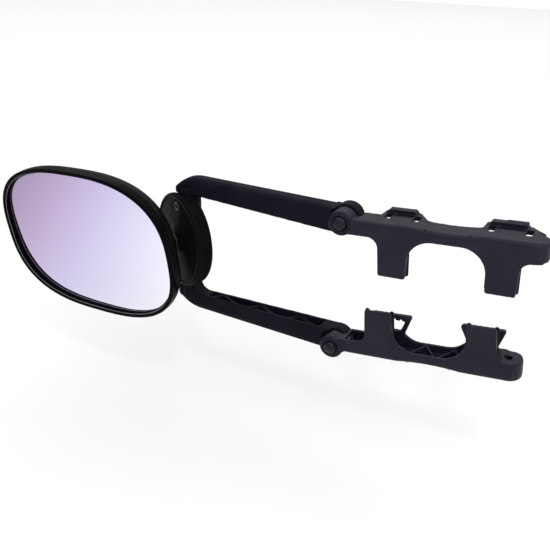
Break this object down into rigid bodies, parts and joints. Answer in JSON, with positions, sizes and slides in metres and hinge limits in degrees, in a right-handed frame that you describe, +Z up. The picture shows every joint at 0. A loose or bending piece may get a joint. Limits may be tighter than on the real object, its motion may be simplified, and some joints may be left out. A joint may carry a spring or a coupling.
{
  "type": "towing mirror",
  "caption": "Clip-on towing mirror: oval mirror head on a ball joint and swivel hub, with extension arms and hinged clamp bars that grip a door mirror.",
  "frame": {"origin": "middle of the clamp's grip, on the rear faces of the tab strips, halfway between the two hinge pins in height", "axes": "+X along the arms from the mirror head to the clamp's free end, +Y away from the driver into the vehicle's mirror casing, +Z up"},
  "size_m": [0.5145, 0.0907, 0.1564],
  "materials": {
    "clamp_plastic": "satin moulded black",
    "grip_rubber": "matte",
    "hinge_steel": "black coated",
    "washer_plastic": "matte",
    "arm_plastic": "satin moulded black",
    "hub_plastic": "satin moulded black",
    "screw_steel": "zinc plated",
    "ball_steel": "polished",
    "liner_plastic": "greased",
    "head_plastic": "satin moulded black",
    "rim_plastic": "semi-gloss black",
    "pad_foam": "closed-cell foam",
    "mirror": "silvered glass"
  },
  "bodies": {
    "upper_clamp": {"upper_clamp_bar": "clamp_plastic", "upper_tab_strips": "grip_rubber", "upper_hinge_bolt": "hinge_steel", "upper_hinge_washer": "washer_plastic", "upper_hinge_nut": "hinge_steel"},
    "upper_arm": {"upper_arm": "arm_plastic", "upper_retaining_ring": "screw_steel"},
    "hub": {"hub_rear_body": "hub_plastic", "hub_front_plate": "hub_plastic", "hub_lock_screws": "screw_steel", "hub_rear_screws": "screw_steel", "stem_washer": "screw_steel"},
    "lower_arm": {"lower_arm": "arm_plastic", "lower_retaining_ring": "screw_steel"},
    "lower_clamp": {"lower_clamp_bar": "clamp_plastic", "lower_tab_strips": "grip_rubber", "lower_hinge_bolt": "hinge_steel", "lower_hinge_washer": "washer_plastic", "lower_hinge_nut": "hinge_steel"},
    "stem": {"ball_stem": "ball_steel", "stem_nut": "screw_steel"},
    "liner": {"ball_liner": "liner_plastic"},
    "head": {"socket_housing": "hub_plastic", "pressure_pad": "liner_plastic", "pressure_spring": "screw_steel", "socket_cover": "screw_steel", "socket_screws": "screw_steel", "rear_cover": "head_plastic", "front_frame": "rim_plastic", "glass_carrier": "head_plastic", "adhesive_pad": "pad_foam", "mirror_glass": "mirror"}
  },
  "joints": [
    {"name": "upper_pivot", "type": "hinge", "parent": "upper_clamp", "child": "upper_arm", "pos_m": [-0.088, 0, 0.0593], "axis": [0, 1, 0], "range_deg": [-5, 45]},
    {"name": "upper_swivel", "type": "hinge", "parent": "upper_arm", "child": "hub", "pos_m": [-0.25, 0.0123, 0.0574], "axis": [0, 0, 1], "range_deg": [-45, 45]},
    {"name": "lower_swivel", "type": "hinge", "parent": "hub", "child": "lower_arm", "pos_m": [-0.25, 0.0123, -0.0484], "axis": [0, 0, 1], "range_deg": [-45, 45]},
    {"name": "lower_pivot", "type": "hinge", "parent": "lower_arm", "child": "lower_clamp", "pos_m": [-0.088, 0, -0.0593], "axis": [0, 1, 0], "range_deg": [-5, 45]},
    {"name": "stem_spin", "type": "hinge", "parent": "hub", "child": "stem", "pos_m": [-0.269, -0.02061, 0.0045], "axis": [-0.5, -0.866, 0], "range_deg": [-25, 25]},
    {"name": "head_pan", "type": "hinge", "parent": "stem", "child": "liner", "pos_m": [-0.269, -0.02061, 0.0045], "axis": [0, 0, 1], "range_deg": [-15, 12]},
    {"name": "head_tilt", "type": "hinge", "parent": "liner", "child": "head", "pos_m": [-0.269, -0.02061, 0.0045], "axis": [0.9979, -0.033, 0.0554], "range_deg": [-22, 8]}
  ]
}
